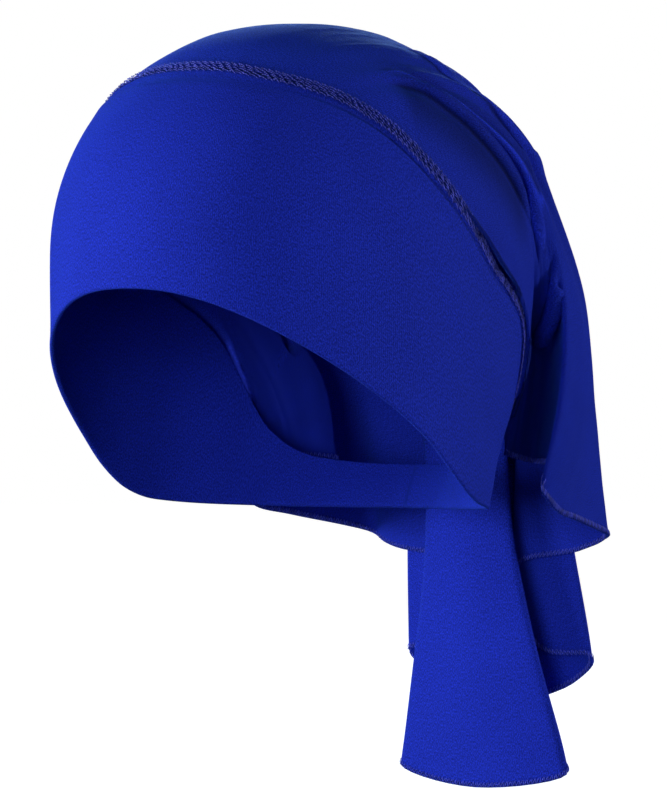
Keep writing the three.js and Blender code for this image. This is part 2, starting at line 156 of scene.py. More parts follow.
# (height, rows from the bridge's end, width in rows)
ROLL_RIDGE = (3.2, 0.5, 2.6)
ROLL_GROOVE = (-1.6, -4.2, 1.5)
ROLL_SIDE_BLEND = 0.6
# (height, share of the way across the bridge, width as a share)
FRONT_GROOVE = (-1.2, 0.08, 0.06)

# Relief of the crown panel: its rise to the seam and the pucker beside it, the unevenness of the
# hanging cloth, and the waves and thickness of the hem.
SEAM_RISE_RUN = 6.0
PUCKER_HEIGHT = 0.14
PUCKER_RATE = 1.9
PUCKER_RUN = 5.0
WRINKLE_HEIGHT = 0.45
WRINKLE_PER_LINE = 0.75
WRINKLE_PER_MM = 0.7 / 60.0
WRINKLE_SEED = 7
WRINKLE_START = 18.0
WRINKLE_RUN = 60.0
HEM_CALM_SHARE = 0.6
HEM_CALM_RUN = 12.0
HEM_WAVE_HEIGHT = 0.45
HEM_WAVE_RATE = 5.3
HEM_WAVE_RUN = 5.0
HEM_SWAY = 1.2
HEM_SWAY_RATE = 1.7
HEM_THICKENING = 0.35
HEM_THICK_START = 2.6
HEM_THICK_RUN = 1.2

# Relief of the band: (height, distance under the seam, width) of a ridge and a groove,
# (middle turn, width) of the drag lines and of the drawn groove, and the roll of the folded edge.
BAND_RIDGE = (0.30, 6.0, 2.0)
BAND_GROOVE = (-0.75, 3.7, 0.8)
DRAG_TURNS = (92.0, 26.0)
DRAG_HEIGHT = 0.45
DRAG_PER_MM = 0.16
DRAG_PER_DEGREE = 0.13
DRAG_RUN = 14.0
GROOVE_TURNS = (72.0, 24.0)
UNEVEN_HEIGHT = 0.25
UNEVEN_TURN = 60.0
UNEVEN_FALL = 45.0
UNEVEN_SEED = 3
EDGE_ROLL = 0.25
EDGE_ROLL_RUN = 3.0
BAND_SINK = 0.2
BAND_INNER_LIFT = 0.15
BAND_EDGE_STEPS = 7
BAND_EDGE_DEPTH = 0.9

# Waves of the cloth's unevenness: their number, and the least and the most to a patch.
NOISE_WAVES = 9
NOISE_ACROSS = (0.5, 2.2)
NOISE_DOWN = (0.4, 1.6)

# Thread of the flat seam: rows of slanted dashes up to a turn behind each ear. The pairs are the
# least and the most of a dash's reach, lean, lift and thickness.
STITCH_END_TURN = 127.5
STITCH_MARKS = 4001
STITCH_SEED = 11
STITCH_ROWS = 5
STITCH_DASH = 2.7
STITCH_REACH = (0.75, 1.3)
STITCH_OVERLAP = 1.05
STITCH_LEAN = (0.30, 0.75)
STITCH_STRAY = 0.18
STITCH_LIFT = (-0.02, 0.1)
STITCH_RISE = 0.42
STITCH_RISE_POWER = 0.8
STITCH_SINK = 0.12
STITCH_THREAD = 0.17
STITCH_THICKNESS = (0.7, 1.1)
# A knot at each needle hole of the outer rows.
KNOT_REACH = 0.5
KNOT_SIDES = (0.4, -0.25)
KNOT_LIFT = 0.16
KNOT_RISE = 0.34
KNOT_THICKNESS = 1.25
# Low on the side the crown's fold leans over the seam and leaves its lower threads in view.
LEANED_TURN = 83
LEANED_SPAN = 14
LEANED_NARROWING = 0.4
LEANED_SHIFT = 1.5

# Thread of the hem: a zigzag of slanted loops and short returns on each face.
OVERLOCK_SEED = 23
OVERLOCK_PITCH = 1.7
OVERLOCK_WIDTH = 2.1
OVERLOCK_STRAY = 0.12
OVERLOCK_WIDTHS = (0.9, 1.08)
LOOP_SLANT = 0.9
LOOP_LIFT = 0.14
LOOP_RISE = 0.10
LOOP_THREAD = 0.19
RETURN_SLANT = 0.35
RETURN_THREAD = 0.16
THREAD_TAPER = 0.5

# Knit: the width and height of one stitch and the waver of its columns, in metres. Then how far
# a stitch's legs slant, and how much the legs and the furrow between columns count.
WALE = 0.00074
COURSE = 0.00056
WAVER = 0.0006
LEG_SLANT = 1.6
LEG_DEPTH = 0.35
FURROW_DEPTH = 0.45
# Grain of the yarn: (spots to the metre across, the same down as a share, detail)
WAVER_GRAIN = (260.0, 1.0, 2.0)
HEATHER_GRAIN = (2700.0, 0.5, 2.0)
SPECK_GRAIN = (800.0, 0.5, 2.0)
SLOW_GRAIN = (26.0, 1.0, 4.0)
# Tone: the middle of the colour ramp, and how much each grain moves it.
MIDDLE_TONE = 0.5
KNIT_TONE = 0.16
HEATHER_TONE = 3.3
SPECK_TONE = 0.3
SLOW_TONE = 0.3
# Height of the knit in metres, how strongly it shows, and how much the heather adds to it.
KNIT_HEIGHT = 0.00014
KNIT_HEIGHT_SHARE = 0.7
HEATHER_HEIGHT = 2.2
# Beside the seam the cloth's colour is darkened as painted shade, which fades out from one distance
# to the next, in metres.
SEAM_PAINTED_SHADE_START = 0.0012
SEAM_PAINTED_SHADE_END = 0.0036
SEAM_PAINTED_SHADE_KEPT = 0.45
JERSEY_DARK = (0.007, 0.014, 0.27)
JERSEY_BRIGHT = (0.020, 0.050, 0.80)
# Thread colours, each with the share of it kept in the painted shade between the turns of its twist.
SEAM_THREAD_COLOUR = (0.12, 0.15, 0.95)
SEAM_THREAD_PAINTED_SHADE = 0.3
HEM_THREAD_COLOUR = (0.10, 0.14, 1.0)
HEM_THREAD_PAINTED_SHADE = 0.5
# Lines drawn in the cloth: (layer, centre, width and height in millimetres, share of painted shade,
# which is a painted highlight where negative)
CREASES_AND_PAINTED_LIGHT = [
    ("fold_edge", -0.4, 0.9, -0.6, 0.65),
    ("fold_edge", -8.0, 13.0, 0.0, 0.55),
    ("fold_crest", 0.0, 0.6, 0.4, -0.9),
    ("fold_crest", 1.4, 1.0, -0.4, 0.35),
    ("fold_crest", 4.5, 4.0, 0.0, 0.25),
    ("rear_crest", -0.6, 0.8, -0.5, 0.6),
    ("rear_crest", 1.6, 1.6, 0.0, -0.35),
]
# Lines drawn in the band, with the same columns: a groove with painted shade and a ridge with a
# painted highlight.
GROOVES_AND_PAINTED_LIGHT = [
    ("seam_groove", 4.9, 0.7, -0.45, 0.5),
    ("seam_groove", 6.4, 0.9, 0.25, -0.15),
]

# Camera, on the wearer's left of the face: its distance, how far it is set to the right of the
# head's centre and below it, and the scale of the picture.
HEAD_CENTRE = np.array([0.0, 0.0, -HEAD_DOME])
CAMERA_TURN = math.radians(36)
TO_CAMERA = np.array([math.sin(CAMERA_TURN), -math.cos(CAMERA_TURN), 0.0])
TO_RIGHT = np.array([math.cos(CAMERA_TURN), math.sin(CAMERA_TURN), 0.0])
UP = np.array([0.0, 0.0, 1.0])
CAMERA_DISTANCE = 1500.0
CAMERA_SHIFT = 13.0
CAMERA_LOWERED = 50.3
PIXELS_PER_MM = 2.785
PICTURE_PIXELS = 800.0
SENSOR_HEIGHT = 36.0

# Floor and lights, in metres.
FLOOR_RADIUS = 6.0
FLOOR_HEIGHT = -0.32
WORLD_FILL = 0.04
WHITE = (1.0, 1.0, 1.0)
# (name, turn to the picture's right, rise, distance, width and height, watts, colour)
LIGHTS = [
    ("key", -24, -6, 1.7, (0.9, 1.0), 19, WHITE),
    ("left_side", -86, -2, 1.5, (0.5, 1.2), 29, WHITE),
    ("right_fill", 94, -4, 2.0, (0.5, 1.2), 30, WHITE),
    ("front", 10, 4, 1.9, (0.4, 0.4), 1.2, WHITE),
    ("back", 178, 20, 1.8, (0.6, 0.5), 30, (0.3, 0.55, 1.0)),
]

# Mesh density. The span steps are the columns between the drawn lines of one side, from the
# seam's end behind the ear to the centre back.
SPAN_STEPS = [4, 5, 6, 9, 14, 20, 12, 8, 8, 8, 8, 8, 8, 8, 7, 7, 7, 7, 7, 7]
CROWN_ROWS = 140
BAND_COLUMNS = 300
BAND_ROWS = 44
# Points that smooth curves are read at: over the head, to each point of a path and of a drawn
# line, and along one dash, knot and loop of thread. Then the sides of the threads.
HEAD_MARKS = 25
PATH_MARKS = 12
LINE_MARKS = 5
DASH_POINTS = 6
KNOT_POINTS = 4
LOOP_POINTS = 5
SEAM_THREAD_SIDES = 5
HEM_THREAD_SIDES = 4


def ease(value):
    s = np.clip(value, 0, 1)
    return s * s * (3 - 2 * s)


def height_at(table, turn):
    """Smooth curve through a table of drops, read at turns of either sign, as heights."""
    x, y = (np.array(c, float) for c in zip(*table))
    slope = np.zeros_like(y)
    slope[1:-1] = (y[2:] - y[:-2]) / (x[2:] - x[:-2])
    t = np.clip(np.abs(np.asarray(turn, float)), 0, 180)
    i = np.clip(np.searchsorted(x, t, side="right") - 1, 0, len(x) - 2)
    span = x[i + 1] - x[i]
    s = (t - x[i]) / span
    drop = (
        (2 * s**3 - 3 * s**2 + 1) * y[i]
        + (s**3 - 2 * s**2 + s) * span * slope[i]
        + (3 * s**2 - 2 * s**3) * y[i + 1]
        + (s**3 - s**2) * span * slope[i + 1]
    )
    return -drop * HEAD_DOME


def head_share(turn, z):
    """Share of the widest section that the head has at a height."""
    turn, z = np.broadcast_arrays(np.asarray(turn, float), np.asarray(z, float))
    power = DOME_POWER - DOME_POWER_SWING * np.cos(np.radians(turn))
    rise = np.clip(1 + z / HEAD_DOME, 0, 1)
    dome = np.clip(1 - rise**power, 0, 1) ** (1 / power)
    depth = np.clip((-HEAD_DOME - z) / NAPE_DEPTH, 0, None)
    tucked = ease((np.abs(turn) - NAPE_FIRST_TURN) / NAPE_TURN_SPAN)
    nape = 1 - NAPE_TUCK_SHARE * tucked * depth**NAPE_TUCK_POWER
    return np.where(z > -HEAD_DOME, dome, nape)


def head_point(turn, z):
    share = head_share(turn, z)
    a = np.radians(turn)
    x = HEAD_HALF_BREADTH * share * np.sin(a)
    y = -HEAD_HALF_LENGTH * share * np.cos(a)
    return np.stack([x, y, np.broadcast_to(z, x.shape)], -1)


def unit(v):
    return v / (np.linalg.norm(v, axis=-1, keepdims=True) + 1e-12)


def head_normal(turn, z):
    z = np.minimum(z, FLAT_TOP)
    du = head_point(turn + TURN_STEP, z) - head_point(turn - TURN_STEP, z)
    dv = head_point(turn, z + HEIGHT_STEP) - head_point(turn, z - HEIGHT_STEP)
    return unit(np.cross(du, dv))


def lifted(turn, z, lift):
    """Places on the head, lifted square off it."""
    turn, z, lift = np.broadcast_arrays(*(np.asarray(v, float) for v in (turn, z, lift)))
    normal = head_normal(turn, z)
    normal = np.where((z > FLAT_TOP)[..., None], [0.0, 0.0, 1.0], normal)
    return head_point(turn, z) + normal * lift[..., None]


def to_map(turn, z):
    """The head laid out flat, seen from above, so that lines cross the top evenly."""
    turn, z = np.broadcast_arrays(np.asarray(turn, float), np.asarray(z, float))
    dome = MERIDIAN_QUARTER * np.arccos(np.clip(1 + z / HEAD_DOME, -1, 1)) / (math.pi / 2)
    radius = np.where(z > -HEAD_DOME, dome, MERIDIAN_QUARTER - HEAD_DOME - z)
    a = np.radians(turn)
    return np.stack([radius * np.sin(a), -radius * np.cos(a)], -1)


def from_map(p):
    radius = np.hypot(p[..., 0], p[..., 1])
    dome = -HEAD_DOME * (1 - np.cos(np.minimum(radius / MERIDIAN_QUARTER, 1) * math.pi / 2))
    z = np.where(radius < MERIDIAN_QUARTER, dome, MERIDIAN_QUARTER - HEAD_DOME - radius)
    return np.degrees(np.arctan2(p[..., 0], -p[..., 1])), z


def seam_beside(turn, offset, lift):
    """A place beside the seam: offset is square to it, positive towards the crown."""
    here = to_map(turn, height_at(SEAM_DROPS, turn))
    ahead = to_map(turn + 1, height_at(SEAM_DROPS, turn + 1))
    behind = to_map(turn - 1, height_at(SEAM_DROPS, turn - 1))
    along = unit(ahead - behind)
    inward = np.stack([-along[..., 1], along[..., 0]], -1)
    t, z = from_map(here + inward * np.asarray(offset, float)[..., None])
    return lifted(t, z, lift)


def curve_at(points, at):
    """Catmull-Rom curve through points (first axis), read at fractional places."""
    points = np.asarray(points, float)
    first = 2 * points[:1] - points[1:2]
    final = 2 * points[-1:] - points[-2:-1]
    p = np.concatenate([first, points, final])
    at = np.asarray(at, float)
    i = np.clip(np.floor(at).astype(int), 0, len(points) - 2)
    s = (at - i).reshape((-1,) + (1,) * (points.ndim - 1))
    a, b, c, d = p[i], p[i + 1], p[i + 2], p[i + 3]
    return 0.5 * (
        2 * b
        + (c - a) * s
        + (2 * a - 5 * b + 4 * c - d) * s**2
        + (3 * b - a - 3 * c + d) * s**3
    )


def run_along(points):
    """Length along a path, from its first point to each point."""
    return np.concatenate([[0], np.cumsum(np.linalg.norm(np.diff(points, axis=0), axis=1))])


def run_down(grid):
    """Length along each column of a grid, from its first point to each point."""
    steps = np.linalg.norm(np.diff(grid, axis=1), axis=2)
    return np.concatenate([np.zeros((len(grid), 1)), np.cumsum(steps, 1)], 1)


def even_steps(points, count):
    """Evenly spaced points along the smooth curve through a few."""
    fine = curve_at(points, np.linspace(0, len(points) - 1, PATH_MARKS * len(points)))
    run = run_along(fine)
    want = np.linspace(0, run[-1], count)
    return np.stack([np.interp(want, run, fine[:, k]) for k in range(3)], -1)


def place(share_x, share_y, z):
    return np.array([share_x * HEAD_HALF_BREADTH, share_y * HEAD_HALF_LENGTH, z])


def hem_place(x, y, fall):
    return place(x, y, float(height_at(SEAM_DROPS, TUCKS[0][0])) - fall * TAIL_FALL)


def tuck_line(row, rows):
    """Points of the cloth from the seam's lower end straight down to the hem."""
    seam, mid_x, mid_y, hem_x, hem_y, fall = row
    start = seam_beside(np.array(float(seam)), SEAM_GAP, CROWN_LIFT)
    hem = hem_place(hem_x, hem_y, fall)
    middle = place(mid_x, mid_y, 0.5 * (start[2] + hem[2]))
    return even_steps(np.array([start, middle, hem]), rows)


def fold_line(row, rows):
    """Points of the cloth from the seam, over the head and free of it, down to the hem."""
    seam, a_turn, a_drop, a_lift, b_turn, b_drop, b_lift = row[:7]
    neck_x, neck_y, mid_x, mid_y, hem_x, hem_y, fall = row[7:]
    flat = np.array([
        [*to_map(seam, height_at(SEAM_DROPS, seam)), CROWN_LIFT],
        [*to_map(a_turn, -a_drop * HEAD_DOME), a_lift * FOLD_DEPTH],
        [*to_map(b_turn, -b_drop * HEAD_DOME), b_lift * FOLD_DEPTH],
    ])
    on_head = curve_at(flat, np.linspace(0, 2, HEAD_MARKS))
    turn, z = from_map(on_head)
    points = list(lifted(turn, z, np.maximum(CROWN_LIFT, on_head[:, 2])))[::2]
    if neck_x is not None:
        points.append(place(neck_x, neck_y, -NECK_DROP * HEAD_DOME))
    hem = hem_place(hem_x, hem_y, fall)
    points += [place(mid_x, mid_y, 0.5 * (points[-1][2] + hem[2])), hem]
    return even_steps(np.array(points), rows)


def above_seam(turn, z):
    """Distance above the seam, square to it."""
    degree = math.sqrt(HEAD_HALF_BREADTH * HEAD_HALF_LENGTH) * math.pi / 180
    rise = height_at(SEAM_DROPS, turn + 1) - height_at(SEAM_DROPS, turn - 1)
    return (z - height_at(SEAM_DROPS, turn)) / np.hypot(1, rise / (2 * degree))


def keep_clear(p):
    """Keeps the free cloth clear of the head above the seam and of the band below it."""
    x, y, z = p[..., 0], p[..., 1], p[..., 2]
    turn = np.degrees(np.arctan2(x / HEAD_HALF_BREADTH, -y / HEAD_HALF_LENGTH))
    share = head_share(turn, z)
    reach = np.hypot(x / HEAD_HALF_BREADTH, y / HEAD_HALF_LENGTH) + 1e-9
    radius = np.hypot(x, y) / reach * share
    over_band = ease((BAND_LAP + CLEARANCE - above_seam(turn, z)) / BAND_LAP)
    lift = CROWN_LIFT + HEAD_GAP + (OVER_BAND_LIFT + BAND_GAP - CROWN_LIFT) * over_band
    short_by = share + lift / np.maximum(radius, 1) * share - reach
    near = (z > height_at(EDGE_DROPS, turn) - EDGE_LAP) & (short_by > 0)
    freed = ease((FREE_HEIGHT - z) / FREE_BLEND)
    grow = np.where(near, 1.0 + freed * short_by / reach, 1.0)
    out = p.copy()
    out[..., 0] *= grow
    out[..., 1] *= grow
    return out


def line_places():
    """Places of the mesh columns, counted in drawn lines from one end of the seam to the other."""
    steps = SPAN_STEPS + SPAN_STEPS[::-1]
    parts = [i + np.arange(count) / count for i, count in enumerate(steps)]
    return np.concatenate(parts + [[len(steps)]])


def crown_grid():
    """Middle surface of the crown panel: columns round the seam, rows from seam to hem."""
    left = [tuck_line(r, CROWN_ROWS) for r in TUCKS] + [fold_line(r, CROWN_ROWS) for r in FOLDS]
    mirror = np.array([-1.0, 1.0, 1.0])
    lines = np.array(left + [fold_line(CENTRE, CROWN_ROWS)] + [line * mirror for line in left[::-1]])
    side = [r[0] for r in TUCKS] + [r[0] for r in FOLDS]
    turns = np.array(side + [0] + [-t for t in side[::-1]], float)
    at = line_places()
    grid = curve_at(lines, at)
    seam_turn = curve_at(turns[:, None], at)[:, 0]
    start = seam_beside(seam_turn, np.full(len(at), SEAM_GAP), CROWN_LIFT)
    miss = start - grid[:, 0]
    tied = 1 - ease(np.linspace(0, 1, CROWN_ROWS) / SEAM_TIE_SHARE)
    grid = grid + miss[:, None, :] * tied[None, :, None]
    return keep_clear(grid), seam_turn


def grid_normals(grid):
    return unit(np.cross(np.gradient(grid, axis=0), np.gradient(grid, axis=1)))


def make_object(name, verts, faces, uvs=None):
    """A smooth mesh, made from millimetres."""
    mesh = bpy.data.meshes.new(name)
    mesh.from_pydata([tuple(v) for v in np.asarray(verts) * MM], [], [tuple(f) for f in faces])
    mesh.update()
    if uvs is not None:
        layer = mesh.uv_layers.new(name="cloth")
        index = np.empty(len(mesh.loops), int)
        mesh.loops.foreach_get("vertex_index", index)
        layer.data.foreach_set("uv", np.asarray(uvs, float)[index].ravel())
    mesh.polygons.foreach_set("use_smooth", [True] * len(mesh.polygons))
    obj = bpy.data.objects.new(name, mesh)
    bpy.context.scene.collection.objects.link(obj)
    return obj


def wall_faces(columns, rows):
    """Quads of a closed wall: outer grid first, then the inner one."""
    def at(side, i, j):
        return (side * columns + i) * rows + j

    faces = []
    end = columns - 1
    hem = rows - 1
    for i in range(end):
        n = i + 1
        for j in range(hem):
            m = j + 1
            faces.append((at(1, i, j), at(1, n, j), at(1, n, m), at(1, i, m)))
            faces.append((at(0, i, j), at(0, i, m), at(0, n, m), at(0, n, j)))
    for i in range(end):
        n = i + 1
        faces.append((at(0, i, 0), at(0, n, 0), at(1, n, 0), at(1, i, 0)))
        faces.append((at(1, i, hem), at(1, n, hem), at(0, n, hem), at(0, i, hem)))
    for j in range(hem):
        m = j + 1
        faces.append((at(1, 0, j), at(1, 0, m), at(0, 0, m), at(0, 0, j)))
        faces.append((at(0, end, j), at(0, end, m), at(1, end, m), at(1, end, j)))
    return faces


def smooth_noise(u, v, seed):
    """Sum of a few seeded sine waves: gentle unevenness, no two spots alike."""
    random = np.random.default_rng(seed)
    total = np.zeros_like(u)
    for _ in range(NOISE_WAVES):
        fu = random.uniform(*NOISE_ACROSS)
        fv = random.uniform(*NOISE_DOWN)
        phase = random.uniform(0, 2 * math.pi)
        total += np.sin(2 * math.pi * (fu * u + fv * v * random.choice([-1, 1])) + phase)
    return total / NOISE_WAVES


def beside_line(line, turn, z):
    """Distance from a drawn line on the head, positive behind it, and place along it, 0 to 1."""
    marks = curve_at(np.array(line, float), np.linspace(0, len(line) - 1, LINE_MARKS * len(line)))
    points = to_map(marks[:, 0], -marks[:, 1] * HEAD_DOME)
    here = to_map(np.abs(turn), z)
    best = np.full(here.shape[:-1], np.inf)
    signed = np.zeros_like(best)
    place_along = np.zeros_like(best)
    for i in range(len(points) - 1):
        step = points[i + 1] - points[i]
        length = np.hypot(*step)
        offset = here - points[i]
        at = np.clip((offset @ step) / length**2, 0, 1)
        gap = offset - at[..., None] * step
        distance = np.hypot(gap[..., 0], gap[..., 1])
        side = np.sign(step[0] * offset[..., 1] - step[1] * offset[..., 0])
        nearer = distance < best
        best = np.where(nearer, distance, best)
        signed = np.where(nearer, distance * side, signed)
        place_along = np.where(nearer, (i + at) / (len(points) - 1), place_along)
    return signed, place_along


def hump(distance, centre, width):
    """A soft bump of height one."""
    return np.exp(-(((distance - centre) / width) ** 2))


def ridge(distance, profile):
    """A ridge, or a groove where its height is negative."""
    height, centre, width = profile
    return height * hump(distance, centre, width)


def fine_folds(grid):
    """Height of the fine folds over the crown, and each line's distance and fade."""
    turn = np.degrees(np.arctan2(grid[..., 0] / HEAD_HALF_BREADTH, -grid[..., 1] / HEAD_HALF_LENGTH))
    relief = np.zeros(grid.shape[:2])
    lines = {}
    for name, (line, fade_in, fade_out, profiles) in FINE_FOLDS.items():
        distance, along = beside_line(line, turn, grid[..., 2])
        fade = ease(along / fade_in) * (1 - ease((along - (1 - fade_out)) / fade_out))
        for profile in profiles:
            relief += fade * ridge(distance, profile)
        lines[name] = (distance, fade)
    return relief, lines


def add_layer(obj, name, first, second):
    """A further pair of values per vertex, read by the cloth's material."""
    layer = obj.data.uv_layers.new(name=name)
    index = np.empty(len(obj.data.loops), int)
    obj.data.loops.foreach_get("vertex_index", index)
    values = np.stack([first.ravel(), second.ravel()], -1)
    copies = len(obj.data.vertices) // len(values)
    layer.data.foreach_set("uv", np.tile(values, (copies, 1))[index].ravel())


def bridge_valley(grid):
    """Draws the cloth across the top of the valley and ends it in a slanting roll."""
    places = line_places()
    side = np.minimum(places, places[-1] - places)
    first, last = BRIDGE_LINES
    share = np.clip((side - first) / (last - first), 0, 1)[:, None]
    row = np.arange(grid.shape[1])[None, :]
    half = len(places) // 2
    chord = np.empty_like(grid)
    for part in (slice(0, half), slice(half, len(places))):
        start = grid[part][np.argmin(np.abs(side[part] - first))]
        end = grid[part][np.argmin(np.abs(side[part] - last))]
        chord[part] = start * (1 - share[part][..., None]) + end * share[part][..., None]
    near, far = BRIDGE_LAST_ROWS
    end_row = near + (far - near) * share
    inside = 4 * share * (1 - share)
    begun = ease((row - BRIDGE_FIRST_ROW) / BRIDGE_BLEND_IN)
    ended = ease((row - end_row) / BRIDGE_BLEND_OUT)
    drawn = BRIDGE_SHARE * begun * (1 - ended) * (inside > 0)
    grid = grid * (1 - drawn[..., None]) + chord * drawn[..., None]
    roll = ridge(row - end_row, ROLL_RIDGE) + ridge(row - end_row, ROLL_GROOVE)
    bulge = roll * ease(inside / ROLL_SIDE_BLEND) + BRIDGE_BULGE * drawn * inside
    bulge = bulge + drawn * ridge(share, FRONT_GROOVE)
    return grid - grid_normals(grid) * bulge[..., None]


def build_crown():
    grid, seam_turn = crown_grid()
    folds, fold_lines = fine_folds(grid)
    grid = bridge_valley(grid)
    columns, rows = grid.shape[:2]
    outward = -grid_normals(grid)
    along = run_down(grid)
    to_hem = along[:, -1:] - along
    # The crown's edge rises to lie flush with the doubled band, with a faint pucker beside the seam.
    flush = (SEAM_LIFT - CROWN_LIFT) * (1 - ease(along / SEAM_RISE_RUN))
    pucker = PUCKER_HEIGHT * np.sin(seam_turn * PUCKER_RATE)[:, None] * np.exp(-along / PUCKER_RUN)
    # The hanging cloth is gently uneven, less so near the stitched hem.
    line = np.repeat(line_places()[:, None], rows, 1)
    calmed = 1 - HEM_CALM_SHARE * ease((HEM_CALM_RUN - to_hem) / HEM_CALM_RUN)
    gathered = ease((along - WRINKLE_START) / WRINKLE_RUN) * calmed
    uneven = smooth_noise(line * WRINKLE_PER_LINE, along * WRINKLE_PER_MM, WRINKLE_SEED)
    wrinkle = WRINKLE_HEIGHT * uneven * gathered
    # The overlocked hem runs in small waves and is a little thicker.
    sway = HEM_SWAY * np.sin(line * HEM_SWAY_RATE)
    hem_wave = HEM_WAVE_HEIGHT * np.sin(line * HEM_WAVE_RATE + sway) * np.exp(-to_hem / HEM_WAVE_RUN)
    relief = flush + wrinkle + pucker + hem_wave + folds
    grid = grid + outward * relief[..., None]
    outward = -grid_normals(grid)
    thicker = HEM_THICKENING * ease((HEM_THICK_START - to_hem) / HEM_THICK_RUN)
    half = 0.5 * JERSEY_WALL * (1 + thicker)
    outer = grid + outward * half[..., None]
    inner = grid - outward * half[..., None]
    across = run_down(grid.swapaxes(0, 1)).T
    across = across - across[columns // 2]
    uv = (np.stack([across, along], -1) * MM).reshape(-1, 2)
    verts = np.concatenate([outer.reshape(-1, 3), inner.reshape(-1, 3)])
    faces = wall_faces(columns, rows)
    obj = make_object("crown_panel_jersey", verts, faces, np.concatenate([uv, uv]))
    for name, (distance, fade) in fold_lines.items():
        add_layer(obj, name, distance, fade)
    return obj, grid, outward


def build_band():
    turn = np.linspace(-180, 180, BAND_COLUMNS, endpoint=False)
    top = height_at(SEAM_DROPS, turn)
    low = height_at(EDGE_DROPS, turn)
    share = np.linspace(0, 1, BAND_ROWS)
    z = low[:, None] + (top - low)[:, None] * share[None, :]
    t = np.repeat(turn[:, None], BAND_ROWS, 1)
    height = z - low[:, None]
    # A ridge and a groove under the seam, drag lines by the ears, a soft roll at the folded edge.
    below_seam = -above_seam(t, z)
    relief = ridge(below_seam, BAND_RIDGE) + ridge(below_seam, BAND_GROOVE)
    drag = np.sin(height * DRAG_PER_MM + np.abs(t) * DRAG_PER_DEGREE) * ease(height / DRAG_RUN)
    relief += DRAG_HEIGHT * hump(np.abs(t), *DRAG_TURNS) * drag
    relief += UNEVEN_HEIGHT * smooth_noise(t / UNEVEN_TURN, z / UNEVEN_FALL, UNEVEN_SEED)
    relief += EDGE_ROLL * np.exp(-height / EDGE_ROLL_RUN)
    outer = lifted(t, z, BAND_WALL + relief - BAND_SINK)
    inner = lifted(t, z, BAND_INNER_LIFT)
    middle = 0.5 * (inner[:, 0] + outer[:, 0])
    arm = 0.5 * (outer[:, 0] - inner[:, 0])
    rounded = []
    for k in range(1, BAND_EDGE_STEPS):
        a = math.pi * k / BAND_EDGE_STEPS
        rounded.append(middle + arm * math.cos(a) - UP * math.sin(a) * BAND_EDGE_DEPTH)
    outer_rows = [outer[:, j] for j in range(BAND_ROWS - 1, -1, -1)]
    inner_rows = [inner[:, j] for j in range(BAND_ROWS)]
    rings = np.stack(outer_rows + rounded + inner_rows, 1)
    columns, ring = rings.shape[:2]
    faces = []
    for i in range(columns):
        n = (i + 1) % columns
        for k in range(ring):
            m = (k + 1) % ring
            faces.append((i * ring + k, i * ring + m, n * ring + m, n * ring + k))
    girth = turn / 360 * 2 * math.pi * math.sqrt((HEAD_HALF_BREADTH**2 + HEAD_HALF_LENGTH**2) / 2)
    run = run_down(rings)
    uv = np.stack([np.repeat(girth[:, None], ring, 1), run], -1) * MM
    obj = make_object("front_band_jersey", rings.reshape(-1, 3), faces, uv.reshape(-1, 2))
    groove_fade = np.repeat(hump(np.abs(turn), *GROOVE_TURNS)[:, None], ring, 1)
    add_layer(obj, "seam_groove", run, groove_fade)
    return obj


def tube(path, radius, sides):
    """Vertices and faces of a closed thread along a path."""
    path = np.asarray(path, float)
    tangent = unit(np.gradient(path, axis=0))
    helper = np.where(np.abs(tangent[:, 2:3]) > 0.9, [[1.0, 0.0, 0.0]], [[0.0, 0.0, 1.0]])
    across = unit(np.cross(tangent, helper))
    up = np.cross(tangent, across)
    a = np.linspace(0, 2 * math.pi, sides, endpoint=False)
    ring = across[:, None, :] * np.cos(a)[None, :, None] + up[:, None, :] * np.sin(a)[None, :, None]
    size = np.full(len(path), radius)
    size[0] *= THREAD_TAPER
    size[-1] *= THREAD_TAPER
    verts = (path[:, None, :] + ring * size[:, None, None]).reshape(-1, 3)
    faces = []
    for i in range(len(path) - 1):
        for k in range(sides):
            m = (k + 1) % sides
            faces.append((i * sides + k, i * sides + m, (i + 1) * sides + m, (i + 1) * sides + k))
    faces.append(tuple(range(sides))[::-1])
    faces.append(tuple((len(path) - 1) * sides + k for k in range(sides)))
    return verts, faces


def join_tubes(name, tubes):
    verts, faces, base = [], [], 0
    for v, f in tubes:
        verts.append(v)
        faces += [tuple(base + k for k in face) for face in f]
        base += len(v)
    return make_object(name, np.concatenate(verts), faces)


